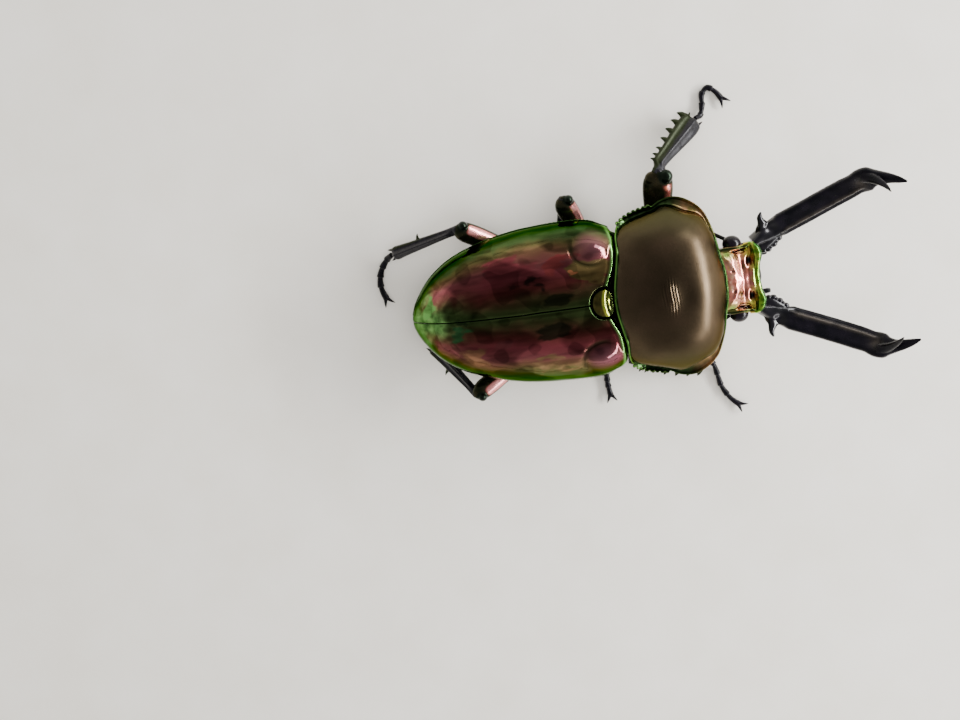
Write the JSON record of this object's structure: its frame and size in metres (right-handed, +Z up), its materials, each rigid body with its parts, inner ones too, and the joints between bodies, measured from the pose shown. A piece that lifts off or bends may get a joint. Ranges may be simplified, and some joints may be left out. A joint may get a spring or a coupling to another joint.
{
  "type": "rainbow stag beetle",
  "caption": "Standing male stag beetle with upcurved forked mandibles, domed wing cases and splayed legs, as a life-size still model.",
  "frame": {"origin": "on the floor under the middle of the bounding box", "axes": "+X towards the mandibles, +Y towards the beetle's left, +Z up"},
  "size_m": [0.0676, 0.0442, 0.016],
  "materials": {
    "bronze_shell": "silky metallic bronze brown, green rims",
    "rainbow_shell": "mirror-like metallic, purple and crimson shading to gold and green",
    "green_shell": "mirror-like metallic golden green",
    "copper_shell": "mirror-like metallic copper pink and green",
    "copper_black_shell": "glossy black with coppery patches",
    "belly_shell": "glossy dark green",
    "black_horn": "glossy black with a faint bronze sheen",
    "eye": "wet black"
  },
  "bodies": {
    "root": {"prothorax": "bronze_shell", "scutellum": "green_shell", "elytron_left": "rainbow_shell", "elytron_right": "rainbow_shell", "thorax": "belly_shell", "abdomen": "belly_shell", "head": "copper_shell", "eye_left": "eye", "eye_right": "eye", "mandible_left": "black_horn", "mandible_right": "black_horn", "antenna_left": "black_horn", "antenna_right": "black_horn", "palp_left": "black_horn", "palp_right": "black_horn", "femur_fore_left": "copper_black_shell", "tibia_fore_left": "black_horn", "tarsus_fore_left": "black_horn", "femur_fore_right": "copper_black_shell", "tibia_fore_right": "black_horn", "tarsus_fore_right": "black_horn", "femur_mid_left": "copper_black_shell", "tibia_mid_left": "black_horn", "tarsus_mid_left": "black_horn", "femur_mid_right": "copper_black_shell", "tibia_mid_right": "black_horn", "tarsus_mid_right": "black_horn", "femur_hind_left": "copper_black_shell", "tibia_hind_left": "black_horn", "tarsus_hind_left": "black_horn", "femur_hind_right": "copper_black_shell", "tibia_hind_right": "black_horn", "tarsus_hind_right": "black_horn"}
  },
  "joints": []
}
